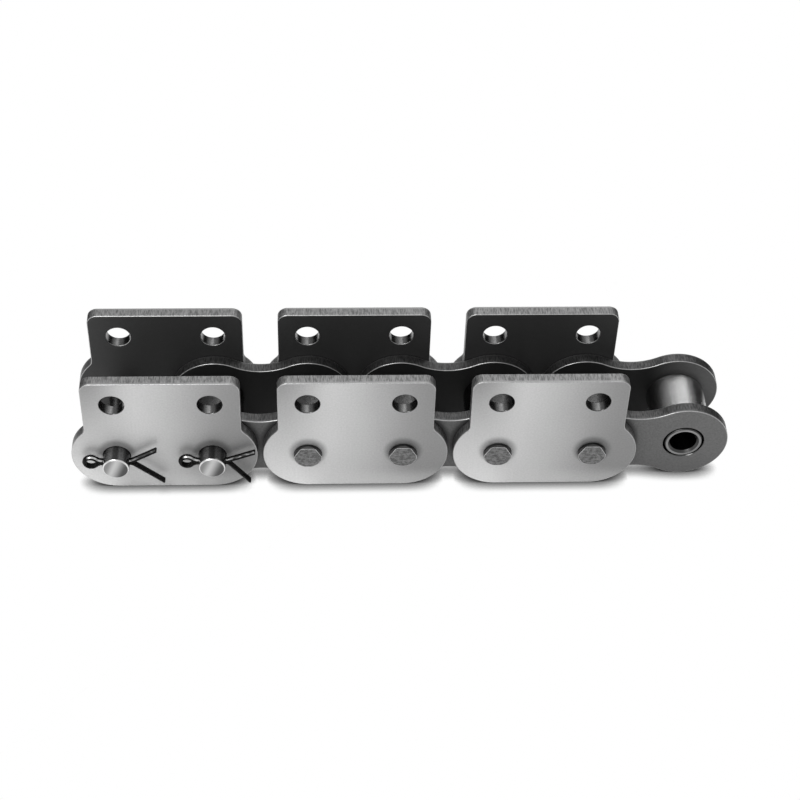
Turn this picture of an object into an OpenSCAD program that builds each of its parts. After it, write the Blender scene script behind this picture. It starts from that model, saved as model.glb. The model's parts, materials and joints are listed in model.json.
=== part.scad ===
// Heavy roller chain with straight bolt-on lugs on both sides of every outer link.
// Outer and inner links alternate. The outer link at the -X end is a connecting link
// with cottered pins, and the inner link at the +X end has an open bush.
// Millimetres, +Z up, chain along X, front towards -Y. The origin is on the axis of
// the open bush, midway between the plates.

/* [Chain] */
// Distance from one pin axis to the next
pitch = 50.8; // [50:0.1:58]
// Clear width between the two plates of an inner link
inner_width = 31.75; // [26:0.05:40]
// Thickness of every plate
plate_t = 6.35; // [4.5:0.05:9]
// Depth of every plate across its round ends
plate_depth = 48; // [42:0.1:49]
// Depth of an inner plate at its waist
waist_depth = 36; // [28:0.1:39]

/* [Lugs] */
// Length of a lug along the chain
lug_w = 82.55; // [76:0.05:94]
// Height of a lug's top edge above the pin axes
lug_h = 53.2; // [49:0.1:65]
// Radius of a lug's top corners
lug_corner_r = 5.5; // [2:0.1:9]
// Radius of the hollow fillet between a lug's side and the round end
lug_fillet_r = 5; // [2:0.1:9]
// Height of the bolt holes above the pin axes
bolt_h = 38.1; // [35:0.1:43]
// Distance between the two bolt holes of a lug
bolt_spacing = 50.8; // [40:0.1:58]
// Diameter of the bolt holes
bolt_d = 13; // [9:0.1:16]

/* [Pins, bushes and rollers] */
// Diameter of the pins
pin_d = 14.27; // [12:0.01:16]
// Wall of the bushes
bush_wall = 3; // [2:0.05:3.5]
// Diameter of the rollers
roller_d = 31.75; // [28:0.05:36]
// Chamfer on the mouth of an inner plate's bush holes
bush_hole_chamfer = 1.1; // [0.4:0.1:1.6]
// How far a bush stands out of the plates that hold it
bush_proud = 0.3; // [0.1:0.05:0.8]
// Chamfer on the outer edges of a bush
bush_chamfer = 0.6; // [0.2:0.1:1]
// Chamfer on the mouth of a bush's bore
bush_mouth = 1.2; // [0.4:0.1:1.6]
// Chamfer on the edges of a roller
roller_chamfer = 1.4; // [0.4:0.1:2]
// How far a riveted pin end stands out of its plate
rivet_h = 2.4; // [1.8:0.1:4]
// How far riveting spreads a pin end beyond the pin's radius
rivet_spread = 0.4; // [0.1:0.05:0.8]
// Depth of the three flats struck on the upper and on the lower half of a riveted end, measured along the pin
rivet_bevel = [1, 0.4]; // [0.2:0.1:1.6]

/* [Cotters] */
// How far a cottered pin end stands out of its plate
tail_h = 9.9; // [8.5:0.1:14]
// Chamfer on a cottered pin end
tail_chamfer = 0.8; // [0.2:0.1:1.4]
// Distance from the plate to the axis of the cotter
cotter_offset = 4.2; // [3:0.1:5.5]
// Diameter of the two cotter legs laid together
cotter_d = 3.7; // [2.6:0.1:4.2]
// Inside radius of the cotter's eye
eye_r = 2.8; // [1.6:0.05:3.4]
// Length of the upper leg of each cotter beyond the pin
leg_up_l = [17, 17]; // [12:0.5:30]
// Length of the lower leg of each cotter beyond the pin
leg_down_l = [23.5, 20.5]; // [12:0.5:30]
// Angle that the upper leg of each cotter is opened by
open_up = [31, 22]; // [10:1:50]
// Angle that the lower leg of each cotter is opened by
open_down = [42, 53]; // [10:1:70]
// Radius that the lower leg of each cotter is opened on
open_down_r = [4, 3]; // [3:0.5:12]

/* [Clearances] */
// Radial clearance of a pin in its bush
pin_clearance = 0.05; // [0.02:0.01:0.1]
// Radial clearance of a roller on its bush
roller_clearance = 0.08; // [0.03:0.01:0.2]
// Gap between each end of a roller and the inner plate
roller_gap = 0.2; // [0.1:0.05:0.5]
// Gap between each end of a bush and the outer plate
link_gap = 0.15; // [0.1:0.05:0.5]
// Radial gap of the seats that are pressed together
seat_gap = 0.01; // [0.005:0.005:0.02]
// Radial clearance of a cotter in its hole
cotter_clearance = 0.15; // [0.05:0.05:0.3]

/* [Hidden] */
$fn = 96;
LINKS = 3;
SIDES = ["front", "rear"];
STATIONS = 2 * LINKS;
plate_r = plate_depth / 2;
bush_r = pin_d / 2 + pin_clearance + bush_wall;
inner_face = inner_width / 2;
bush_end = inner_face + plate_t + bush_proud;
outer_face = bush_end + link_gap;
chain_face = outer_face + plate_t;
rivet_r = pin_d / 2 + rivet_spread;
cotter_y = chain_face + cotter_offset;
// Blending arcs run this far past their tangent points, so that every edge crosses cleanly
blend_bite = 0.005;
// Radius of an inner plate's waist, tangent to both round ends
waist_h = waist_depth / 2;
waist_r = (pow(pitch / 2, 2) + pow(waist_h, 2) - pow(plate_r, 2)) / (2 * (plate_r - waist_h));
// Radii that the cotter's upper leg and neck are bent on, and half the slit between its legs
open_up_r = 3;
neck_r = 5.5;
slit = 0.05;
neck_angle = acos((slit + neck_r) / (eye_r + neck_r));
// Length of straight cotter between the pin's surface and its legs, and between the pin and its eye
leg_lead = 0.1;
eye_lead = 0.1;

// Place of a pin or bush axis, counted from the bare connecting pin at the -X end
function station_x(i) = (i - STATIONS) * pitch;
function outer_link_x(k) = (station_x(2 * k - 2) + station_x(2 * k - 1)) / 2;
function inner_link_x(k) = (station_x(2 * k - 1) + station_x(2 * k)) / 2;

module both_ends() {
    for (s = [-1, 1]) translate([s * pitch / 2, 0]) children();
}

// Web that fills the corner between a lug's side and a round end, up to a hollow arc
module shoulder_fillet(s) {
    reach = lug_w / 2 + lug_fillet_r;
    height = sqrt(pow(plate_r + lug_fillet_r, 2) - pow(reach - pitch / 2, 2));
    ends = s > 0 ? [lug_w / 2, reach] : [-reach, -lug_w / 2];
    difference() {
        polygon([[ends[0], height], [s * pitch / 2, 0], [ends[1], height]]);
        translate([s * reach, height]) circle(lug_fillet_r + blend_bite);
    }
}

module lug_plate_outline() {
    both_ends() circle(plate_r);
    translate([-pitch / 2, -plate_r]) square([pitch, plate_r]);
    translate([-lug_w / 2, 0]) square([lug_w, lug_h - lug_corner_r]);
    for (s = [-1, 1]) translate([s * (lug_w / 2 - lug_corner_r), lug_h - lug_corner_r]) circle(lug_corner_r);
    translate([-lug_w / 2 + lug_corner_r, 0]) square([lug_w - 2 * lug_corner_r, lug_h]);
    for (s = [-1, 1]) shoulder_fillet(s);
}

module inner_plate_outline() {
    blend_h = plate_r * (waist_h + waist_r) / (plate_r + waist_r);
    both_ends() circle(plate_r);
    difference() {
        square([pitch, 2 * blend_h], center = true);
        for (s = [-1, 1]) translate([0, s * (waist_h + waist_r)]) circle(waist_r + blend_bite);
    }
}

// Stands a front plate up in the XZ plane, its inner face the given distance from mid-chain, or mirrors it to the rear
module stand_plate(side, inner_y) {
    mirror([0, side == "rear" ? 1 : 0, 0]) translate([0, -inner_y, 0]) rotate([90, 0, 0]) children();
}

module lug_plate(side, k) {
    color("silver") translate([outer_link_x(k), 0, 0]) stand_plate(side, outer_face) linear_extrude(plate_t)
        difference() {
            lug_plate_outline();
            both_ends() circle(pin_d / 2 + seat_gap);
            for (s = [-1, 1]) translate([s * bolt_spacing / 2, bolt_h]) circle(d = bolt_d);
        }
}

module inner_plate(side, k) {
    hole_r = bush_r + seat_gap;
    color("dimgray") translate([inner_link_x(k), 0, 0]) stand_plate(side, inner_face) difference() {
        linear_extrude(plate_t) difference() {
            inner_plate_outline();
            both_ends() circle(hole_r);
        }
        both_ends() translate([0, 0, plate_t - bush_hole_chamfer])
            cylinder(h = 2 * bush_hole_chamfer, r1 = hole_r, r2 = hole_r + 2 * bush_hole_chamfer);
    }
}

// Turns a half profile, radius across and chain width up, about a pin axis
module turned(i) {
    translate([station_x(i), 0, 0]) rotate([-90, 0, 0]) rotate_extrude() children();
}

// Six flats struck at 45 degrees round a riveted end that faces +Y
module rivet_flats() {
    end_y = chain_face + rivet_h;
    for (a = [0:60:300]) {
        bevel = cos(a) > 0 ? rivet_bevel[0] : rivet_bevel[1];
        rotate([0, a, 0]) translate([0, end_y, rivet_r - bevel]) rotate([-45, 0, 0])
            translate([-rivet_r, -rivet_r, 0]) cube(2 * rivet_r);
    }
}

module riveted_pin(k) {
    i = k + 1;
    end_y = chain_face + rivet_h;
    color("gray") difference() {
        turned(i) polygon([
            [0, -end_y], [rivet_r, -end_y], [rivet_r, -chain_face], [pin_d / 2, -chain_face],
            [pin_d / 2, chain_face], [rivet_r, chain_face], [rivet_r, end_y], [0, end_y]
        ]);
        translate([station_x(i), 0, 0]) {
            rivet_flats();
            mirror([0, 1, 0]) rivet_flats();
        }
    }
}

// Pin of the connecting link: riveted at the rear, drilled for a cotter at the front
module connecting_pin(k) {
    i = k - 1;
    tail_y = -chain_face - tail_h;
    end_y = chain_face + rivet_h;
    color("gray") difference() {
        turned(i) polygon([
            [0, tail_y], [pin_d / 2 - tail_chamfer, tail_y], [pin_d / 2, tail_y + tail_chamfer],
            [pin_d / 2, chain_face], [rivet_r, chain_face], [rivet_r, end_y], [0, end_y]
        ]);
        translate([station_x(i), 0, 0]) {
            rivet_flats();
            translate([0, -cotter_y, 0]) rotate([0, 90, 0])
                cylinder(h = 2 * pin_d, r = cotter_d / 2 + cotter_clearance, center = true);
        }
    }
}

module bush(i) {
    bore_r = pin_d / 2 + pin_clearance;
    color("gainsboro") turned(i) polygon([
        [bore_r + bush_mouth, -bush_end], [bush_r - bush_chamfer, -bush_end], [bush_r, -bush_end + bush_chamfer],
        [bush_r, bush_end - bush_chamfer], [bush_r - bush_chamfer, bush_end], [bore_r + bush_mouth, bush_end],
        [bore_r, bush_end - bush_mouth], [bore_r, -bush_end + bush_mouth]
    ]);
}

module roller(i) {
    half = inner_face - roller_gap;
    bore_r = bush_r + roller_clearance;
    outer_r = roller_d / 2;
    color("lightgray") turned(i) polygon([
        [bore_r, -half], [outer_r - roller_chamfer, -half], [outer_r, -half + roller_chamfer],
        [outer_r, half - roller_chamfer], [outer_r - roller_chamfer, half], [bore_r, half]
    ]);
}

// Rings of half-round wire along an arc: place of the flat in XZ, and the way the round side faces
function wire_arc(centre, r, a0, a1, round_in, steps) = [
    for (n = [0:steps])
        let (a = a0 + (a1 - a0) * n / steps, way = [cos(a), sin(a)])
            [centre + r * way, round_in ? -way : way]
];

// A ring moved along the straight wire, at right angles to the way its round side faces
function wire_run(ring, l) = [ring[0] + l * [ring[1].y, -ring[1].x], ring[1]];

// One length of half-round wire: upper leg, neck, eye, neck and lower leg, with its flat inside
function cotter_rings(k) =
    let (
        leg_x = pin_d / 2 + leg_lead,
        neck_x = -pin_d / 2 - eye_lead,
        eye_x = neck_x - (eye_r + neck_r) * sin(neck_angle),
        down_r = open_down_r[k - 1],
        up = wire_arc([leg_x, slit + open_up_r], open_up_r, 270 + open_up[k - 1], 270, true, 5),
        neck_up = wire_arc([neck_x, slit + neck_r], neck_r, 270, 270 - neck_angle, true, 5),
        eye = wire_arc([eye_x, 0], eye_r, 90 - neck_angle, 270 + neck_angle, false, 22),
        neck_down = wire_arc([neck_x, -slit - neck_r], neck_r, 90 + neck_angle, 90, true, 5),
        down = wire_arc([leg_x, -slit - down_r], down_r, 90, 90 - open_down[k - 1], true, 10),
        up_run = leg_up_l[k - 1] - leg_lead - open_up_r * open_up[k - 1] * PI / 180,
        down_run = leg_down_l[k - 1] - leg_lead - down_r * open_down[k - 1] * PI / 180
    )
    concat(
        [wire_run(up[0], up_run)], up, neck_up, [for (n = [1:len(eye) - 2]) eye[n]], neck_down, down,
        [wire_run(down[len(down) - 1], -down_run)]
    );

module cotter(k) {
    rings = cotter_rings(k);
    sides = 10;
    corners = sides + 1;
    last = len(rings) - 1;
    points = [
        for (ring = rings, n = [0:sides])
            let (a = 180 * n / sides, p = ring[0] + cotter_d / 2 * sin(a) * ring[1])
                [p.x, cotter_d / 2 * cos(a), p.y]
    ];
    walls = [
        for (r = [0:last - 1], n = [0:sides])
            let (m = (n + 1) % corners)
                [r * corners + n, r * corners + m, (r + 1) * corners + m, (r + 1) * corners + n]
    ];
    first_cap = [for (n = [sides:-1:0]) n];
    last_cap = [for (n = [0:sides]) last * corners + n];
    color("black") translate([station_x(k - 1), -cotter_y, 0])
        polyhedron(points, concat(walls, [first_cap, last_cap]));
}

for (side = SIDES, k = [1:LINKS]) {
    lug_plate(side, k);
    inner_plate(side, k);
}
for (k = [1:2]) {
    connecting_pin(k);
    cotter(k);
}
for (k = [1:STATIONS - 2]) riveted_pin(k);
for (k = [1:STATIONS]) {
    bush(k);
    roller(k);
}
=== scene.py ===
"""Looks of a heavy roller chain with straight bolt-on lugs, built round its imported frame.

The chain lies along X with its front towards -Y. Each piece is shaped in millimetres by mesh operators where
its node in the frame is, and becomes an object in metres at the origin.
"""

from __future__ import annotations

import json
import logging
import math
from dataclasses import dataclass
from enum import Enum
from typing import Any, ClassVar, Sequence, Union

import bmesh
import bpy
from mathutils import Matrix, Vector

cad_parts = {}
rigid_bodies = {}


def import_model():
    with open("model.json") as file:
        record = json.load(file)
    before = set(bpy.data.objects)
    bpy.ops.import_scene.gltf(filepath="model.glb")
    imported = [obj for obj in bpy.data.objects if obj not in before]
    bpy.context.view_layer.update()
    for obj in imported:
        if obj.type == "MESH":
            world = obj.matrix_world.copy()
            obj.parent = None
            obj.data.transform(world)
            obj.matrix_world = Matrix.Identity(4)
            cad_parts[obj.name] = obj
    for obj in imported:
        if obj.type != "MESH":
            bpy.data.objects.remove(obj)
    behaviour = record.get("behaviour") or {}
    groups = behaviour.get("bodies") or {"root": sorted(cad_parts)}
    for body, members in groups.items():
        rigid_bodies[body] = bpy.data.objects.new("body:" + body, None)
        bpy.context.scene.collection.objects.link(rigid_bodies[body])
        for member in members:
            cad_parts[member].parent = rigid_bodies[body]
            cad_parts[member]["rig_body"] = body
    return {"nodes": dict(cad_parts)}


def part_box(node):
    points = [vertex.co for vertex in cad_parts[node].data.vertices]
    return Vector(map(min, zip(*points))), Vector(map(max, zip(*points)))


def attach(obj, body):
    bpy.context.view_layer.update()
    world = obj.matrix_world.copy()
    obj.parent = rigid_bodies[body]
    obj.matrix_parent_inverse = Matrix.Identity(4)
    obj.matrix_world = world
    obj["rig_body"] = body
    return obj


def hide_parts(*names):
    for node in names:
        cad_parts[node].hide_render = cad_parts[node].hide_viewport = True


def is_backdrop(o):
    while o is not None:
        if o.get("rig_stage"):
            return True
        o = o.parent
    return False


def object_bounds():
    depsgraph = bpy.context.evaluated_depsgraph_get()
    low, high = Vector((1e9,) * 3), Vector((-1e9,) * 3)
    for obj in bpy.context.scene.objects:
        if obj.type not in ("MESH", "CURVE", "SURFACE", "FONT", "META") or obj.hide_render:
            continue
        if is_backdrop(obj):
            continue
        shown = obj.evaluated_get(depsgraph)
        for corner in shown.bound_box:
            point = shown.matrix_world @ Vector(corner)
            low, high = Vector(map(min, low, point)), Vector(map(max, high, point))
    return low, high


LOG = logging.getLogger("chain")
MM = 0.001
WELD = 1e-4
PITCH_MM = 50.8
OUTER_LINK_MM = -76.2
LAST_LUG_MM = (-24.5, -26.5)
# Marks hole walls and bush-hole chamfers: painted shade there, and a smoother finish.
SHADED_BORE = "oiled"
# Marks how near each point of the cotter wire lies to the line of its painted highlight.
PAINTED_HIGHLIGHT = "rubbed"
WHITE = (1.0, 1.0, 1.0, 1.0)
AXIS_X = Vector((1.0, 0.0, 0.0))
AXIS_Y = Vector((0.0, 1.0, 0.0))
AXIS_Z = Vector((0.0, 0.0, 1.0))

Operand = Union["Shade", float]
Socket = Union[str, int]
Span = tuple[float, float]
Scales = tuple[float, float, float]


class Side(Enum):
    """The two sides of the chain, by the way their outer faces look along Y."""

    FRONT = -1
    REAR = 1

    @property
    def word(self) -> str:
        """The side's name inside a node's name."""
        return self.name.lower()


class Shade:
    """One output of a material's nodes. Arithmetic on it adds Math nodes."""

    def __init__(self, sheet: NodeSheet, socket: bpy.types.NodeSocket) -> None:
        """Keeps the sheet of nodes and the socket that the value comes from."""
        self.sheet = sheet
        self.socket = socket

    def output(self, name: Socket) -> Shade:
        """Another output of the node that this value comes from."""
        return Shade(self.sheet, self.socket.node.outputs[name])

    def math(self, operation: str, first: Operand, second: Operand = 0.0) -> Shade:
        """Adds one Math node.

        Args:
            operation: The Math node's operation.
            first: Its first value.
            second: Its second value.

        Returns:
            The result.
        """
        return self.sheet.make("ShaderNodeMath", {"operation": operation}, {0: first, 1: second})

    def __add__(self, other: Operand) -> Shade:
        """This value plus another."""
        return self.math("ADD", self, other)

    def __radd__(self, other: Operand) -> Shade:
        """A number plus this value."""
        return self.math("ADD", other, self)

    def __sub__(self, other: Operand) -> Shade:
        """This value less another."""
        return self.math("SUBTRACT", self, other)

    def __rsub__(self, other: Operand) -> Shade:
        """A number less this value."""
        return self.math("SUBTRACT", other, self)

    def __mul__(self, other: Operand) -> Shade:
        """This value times another."""
        return self.math("MULTIPLY", self, other)

    def __rmul__(self, other: Operand) -> Shade:
        """A number times this value."""
        return self.math("MULTIPLY", other, self)

    def sign(self) -> Shade:
        """Minus one below zero and one above it."""
        return self.math("SIGN", self)

    def size(self) -> Shade:
        """The value without its sign."""
        return self.math("ABSOLUTE", self)

    def root(self) -> Shade:
        """The value's square root."""
        return self.math("SQRT", self)

    def swing(self) -> Shade:
        """How far a noise is from its middle."""
        return self - 0.5

    def sine(self) -> Shade:
        """The sine of the value in radians."""
        return self.math("SINE", self)


class NodeSheet:
    """The nodes of one material or world."""

    def __init__(self, owner: bpy.types.Material | bpy.types.World) -> None:
        """Gives a material or a world an empty tree of nodes.

        Args:
            owner: The material or the world.
        """
        owner.use_nodes = True
        self.owner = owner
        self.tree = owner.node_tree
        self.tree.nodes.clear()

    @classmethod
    def of_material(cls, name: str) -> NodeSheet:
        """The empty sheet of a new material."""
        return cls(bpy.data.materials.new(name))

    def make(
        self,
        kind: str,
        settings: dict[str, Any] | None = None,
        sockets: dict[Socket, Any] | None = None,
        output: Socket = 0,
    ) -> Shade:
        """Adds one node.

        Args:
            kind: The node's type.
            settings: Its properties, which are set first.
            sockets: The values or links of its inputs, by name or place.
            output: The output that is wanted.

        Returns:
            That output, or the first input of a node that has no outputs.
        """
        node = self.tree.nodes.new(kind)
        for name, value in (settings or {}).items():
            setattr(node, name, value)
        for key, value in (sockets or {}).items():
            if isinstance(value, Shade):
                self.tree.links.new(value.socket, node.inputs[key])
            else:
                node.inputs[key].default_value = value
        return Shade(self, node.outputs[output] if node.outputs else node.inputs[0])

    def object_place(self) -> Shade:
        """The place in the object. Its node also gives the object's normal."""
        return self.make("ShaderNodeTexCoord", {}, {}, "Object")

    def marking(self, name: str) -> Shade:
        """A marking that the mesh carries."""
        return self.make("ShaderNodeAttribute", {"attribute_name": name}, {}, "Fac")

    def ramp(self, value: Shade, span: Span) -> Shade:
        """A smooth step from zero at the span's start to one at its end."""
        sockets = {"Value": value, "From Min": span[0], "From Max": span[1]}
        return self.make("ShaderNodeMapRange", {"interpolation_type": "SMOOTHSTEP"}, sockets)

    def ramp_mm(self, length: Shade, span_mm: Span) -> Shade:
        """A smooth step between two lengths in millimetres."""
        return self.ramp(length, (span_mm[0] * MM, span_mm[1] * MM))

    def part(self, vector: Shade, axis: str) -> Shade:
        """One part of a vector."""
        return self.make("ShaderNodeSeparateXYZ", {}, {"Vector": vector}, axis)

    def wrap(self, value: Shade, half: float) -> Shade:
        """A length along the chain, counted again from the nearest of a row of places two halves apart."""
        return self.make("ShaderNodeMath", {"operation": "WRAP"}, {0: value, 1: half, 2: -half})

    def from_pin(self, where: Shade) -> Shade:
        """The distance along the chain from the nearest pin axis."""
        return self.wrap(self.part(where, "X"), PITCH_MM / 2 * MM)

    def between_lugs(self, where: Shade) -> Shade:
        """One in the part of the chain that has lugs on both sides, and zero at its open end."""
        return self.ramp_mm(self.part(where, "X"), LAST_LUG_MM)

    def noise(self, where: Shade, per_metre: Scales, detail: float = 2.0) -> Shade:
        """Noise from zero to one, about a half, with its own fineness along each axis.

        Args:
            where: Object coordinates.
            per_metre: Patches in a metre along X, Y and Z.
            detail: Octaves of finer noise.

        Returns:
            The noise.
        """
        stretched = self.make("ShaderNodeMapping", {}, {"Vector": where, "Scale": per_metre})
        return self.make("ShaderNodeTexNoise", {}, {"Vector": stretched, "Scale": 1.0, "Detail": detail})

    def seen_as_background(self) -> Shade:
        """Picks the rays that see the background: from the camera, off metal and through glass.

        Returns:
            One for those rays and zero for the others.
        """
        camera = self.make("ShaderNodeLightPath", {}, {}, "Is Camera Ray")
        rays = camera + camera.output("Is Glossy Ray") + camera.output("Is Transmission Ray")
        return rays.math("MINIMUM", rays, 1.0)

    def steel(
        self,
        tone: Shade,
        roughness: Operand,
        height: Shade,
        relief_mm: float,
        metallic: Operand = 1.0,
        specular: float = 0.5,
    ) -> bpy.types.Material:
        """Closes the sheet as steel.

        Args:
            tone: Grey of the steel.
            roughness: Its roughness.
            height: Relief from zero to one.
            relief_mm: Depth of the relief.
            metallic: One for clean metal, less under oxide or paint.
            specular: Gloss of the oxide or paint.

        Returns:
            The material.
        """
        relief = {"Strength": 1.0, "Distance": relief_mm * MM, "Height": height}
        skin = {
            "Base Color": tone,
            "Metallic": metallic,
            "Roughness": roughness,
            "Specular IOR Level": specular,
            "Normal": self.make("ShaderNodeBump", {}, relief),
        }
        surface = self.make("ShaderNodeBsdfPrincipled", {}, skin)
        self.make("ShaderNodeOutputMaterial", {}, {"Surface": surface})
        return self.owner


class Finish:
    """A finish, whose material is made once."""

    name: str

    def material(self) -> bpy.types.Material:
        """Finds the finish's material by name, or makes it.

        Returns:
            The material.
        """
        sheet_name = f"finish_{self.name}"
        found = bpy.data.materials.get(sheet_name)
        return found if found else self.draw(NodeSheet.of_material(sheet_name))

    def draw(self, sheet: NodeSheet) -> bpy.types.Material:
        """Fills a sheet with the finish's nodes and returns its material."""
        raise NotImplementedError


@dataclass(frozen=True)
class PlateSteel(Finish):
    """Blanked plate: brushed outer face, oxide-dark inner face, sheared edges and burnished corners."""

    name: str
    face: float
    inner: float
    edge_dark: float
    edge_light: float
    corner: float
    land_mm: float
    sheen: float = 0.0
    stain: float = 0.0
    dirt: float = 0.0
    open_end: float = 0.0
    mottle: float = 0.3
    face_rough: float = 0.55
    bore: float = 0.075

    FACE: ClassVar[Span] = (0.9, 0.995)
    CORNER: ClassVar[Span] = (0.12, 0.4)
    TORN: ClassVar[Span] = (0.28, 0.72)
    STROKES: ClassVar[Scales] = (1300, 1300, 14)
    CLOUD: ClassVar[Scales] = (34, 34, 22)
    GRAIN: ClassVar[Scales] = (1000, 1000, 1000)
    SHEARED: ClassVar[Scales] = (1700, 300, 1700)
    STROKE_SHADE: ClassVar[float] = 0.09
    CLOUD_SHADE: ClassVar[float] = 0.16
    BORE_SHADE: ClassVar[float] = 0.8
    STROKE_ROUGH: ClassVar[float] = 0.12
    CORNER_POLISH: ClassVar[float] = 0.16
    OIL_POLISH: ClassVar[float] = 0.27
    INNER_OXIDE: ClassVar[float] = 0.6
    OUTER_OXIDE: ClassVar[float] = 0.4
    STROKE_DEPTH: ClassVar[float] = 0.1
    GRAIN_DEPTH: ClassVar[float] = 0.08
    TORN_DEPTH: ClassVar[float] = 0.55
    RELIEF_MM: ClassVar[float] = 0.07
    LAND_WAVER_MM: ClassVar[float] = 1.2
    LAND_SOFT_MM: ClassVar[float] = 0.4
    AIRED_MM: ClassVar[Span] = (-18.0, 8.0)
    LEFT_MM: ClassVar[Span] = (-10.0, -40.0)
    RIGHT_MM: ClassVar[Span] = (-20.0, 44.0)
    LOW_MM: ClassVar[Span] = (-10.0, -22.0)
    LOW_LIFT: ClassVar[float] = 0.55
    LEFT_PER_METRE: ClassVar[float] = 19.0
    LEFT_LEVEL_MM: ClassVar[float] = 5.0
    OIL_RISE_MM: ClassVar[float] = 2.0
    OIL_MM: ClassVar[Span] = (11.5, 7.8)
    DIRT_MM: ClassVar[Span] = (27.5, 24.3)

    def draw(self, sheet: NodeSheet) -> bpy.types.Material:
        """Fills a sheet with the plate's nodes.

        Args:
            sheet: The empty sheet.

        Returns:
            The material.
        """
        where = sheet.object_place()
        across = sheet.part(where, "Y")
        outward = sheet.part(where.output("Normal"), "Y") * across.sign()
        outer_face = sheet.ramp(outward, self.FACE)
        inner_face = sheet.ramp(0 - outward, self.FACE)
        oiled = sheet.marking(SHADED_BORE)
        corner = sheet.ramp(outward.size(), self.CORNER) - outer_face - inner_face
        edge = 1 - outer_face - inner_face - corner
        strokes = sheet.noise(where, self.STROKES, 3)
        cloud = sheet.noise(where, self.CLOUD, 1)
        grain = sheet.noise(where, self.GRAIN, 2)
        sheared = sheet.noise(where, self.SHEARED, 3)
        depth = across.size() + self.LAND_WAVER_MM * MM * sheared.swing()
        land = sheet.ramp_mm(depth, (self.land_mm - self.LAND_SOFT_MM, self.land_mm + self.LAND_SOFT_MM))
        torn = self.edge_dark + (self.edge_light - self.edge_dark) * sheet.ramp(sheared, self.TORN)
        flat = 1 + self.STROKE_SHADE * strokes.swing() + self.CLOUD_SHADE * cloud.swing()
        flat = flat + self.mottle * grain.swing()
        # Painted light: the inner face is painted up to six and a half times lighter towards the chain's
        # open end.
        painted_open_light = 1 + self.open_end * sheet.ramp_mm(sheet.part(where, "X"), self.AIRED_MM)
        tone = self.face * outer_face * self.light_band(sheet, where) + self.inner * inner_face * painted_open_light
        tone = tone * flat + self.corner * corner * (1 + sheared.swing())
        tone = tone + edge * (torn + (self.edge_light - torn) * land)
        # Painted shade: the marked hole walls and chamfers take the dark tone of a bore.
        tone = tone + (self.bore * (1 + self.BORE_SHADE * sheared.swing()) - tone) * oiled
        roughness = self.face_rough + self.STROKE_ROUGH * strokes.swing()
        roughness = roughness - self.CORNER_POLISH * corner - self.OIL_POLISH * oiled
        torn_relief = self.TORN_DEPTH * sheared * edge * (1 - land) * (1 - oiled)
        height = self.STROKE_DEPTH * strokes * outer_face + self.GRAIN_DEPTH * grain + torn_relief
        bare_and_painted_highlight = 1 - self.INNER_OXIDE * inner_face - self.OUTER_OXIDE * outer_face
        return sheet.steel(tone, roughness, height, self.RELIEF_MM, metallic=bare_and_painted_highlight)

    def light_band(self, sheet: NodeSheet, where: Shade) -> Shade:
        """Painted light and shade across each plate's face, with painted shadow round its pins and painted
        shade beside the next plate.

        Args:
            sheet: The material's sheet.
            where: Object coordinates.

        Returns:
            A factor on the face's tone.
        """
        along = sheet.part(where, "X")
        up = sheet.part(where, "Z")
        from_middle = sheet.wrap(along - OUTER_LINK_MM * MM, PITCH_MM * MM)
        from_pin = sheet.from_pin(where)
        # Painted light and shade across the face: lightest left of middle, darker towards the right (less so
        # low down) and towards the upper left corner.
        tilt = self.LEFT_PER_METRE * (up - self.LEFT_LEVEL_MM * MM)
        left = sheet.ramp_mm(from_middle, self.LEFT_MM) * tilt
        lifted = 1 - self.LOW_LIFT * sheet.ramp_mm(up, self.LOW_MM)
        right = sheet.ramp_mm(from_middle, self.RIGHT_MM) * lifted
        band = 1 - self.sheen * (right + left)
        # Painted shadow round each pin, centred a little above its axis.
        above_pin = up - self.OIL_RISE_MM * MM
        pin_distance = (from_pin * from_pin + above_pin * above_pin).root()
        oil = self.stain * sheet.ramp_mm(pin_distance, self.OIL_MM)
        # Painted shade on the inner plates round the lug plates' round ends, only between the lugs.
        beyond_lug = sheet.ramp_mm((from_pin * from_pin + up * up).root(), self.DIRT_MM)
        return band * (1 - oil) * (1 - self.dirt * beyond_lug * sheet.between_lugs(where))


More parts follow.
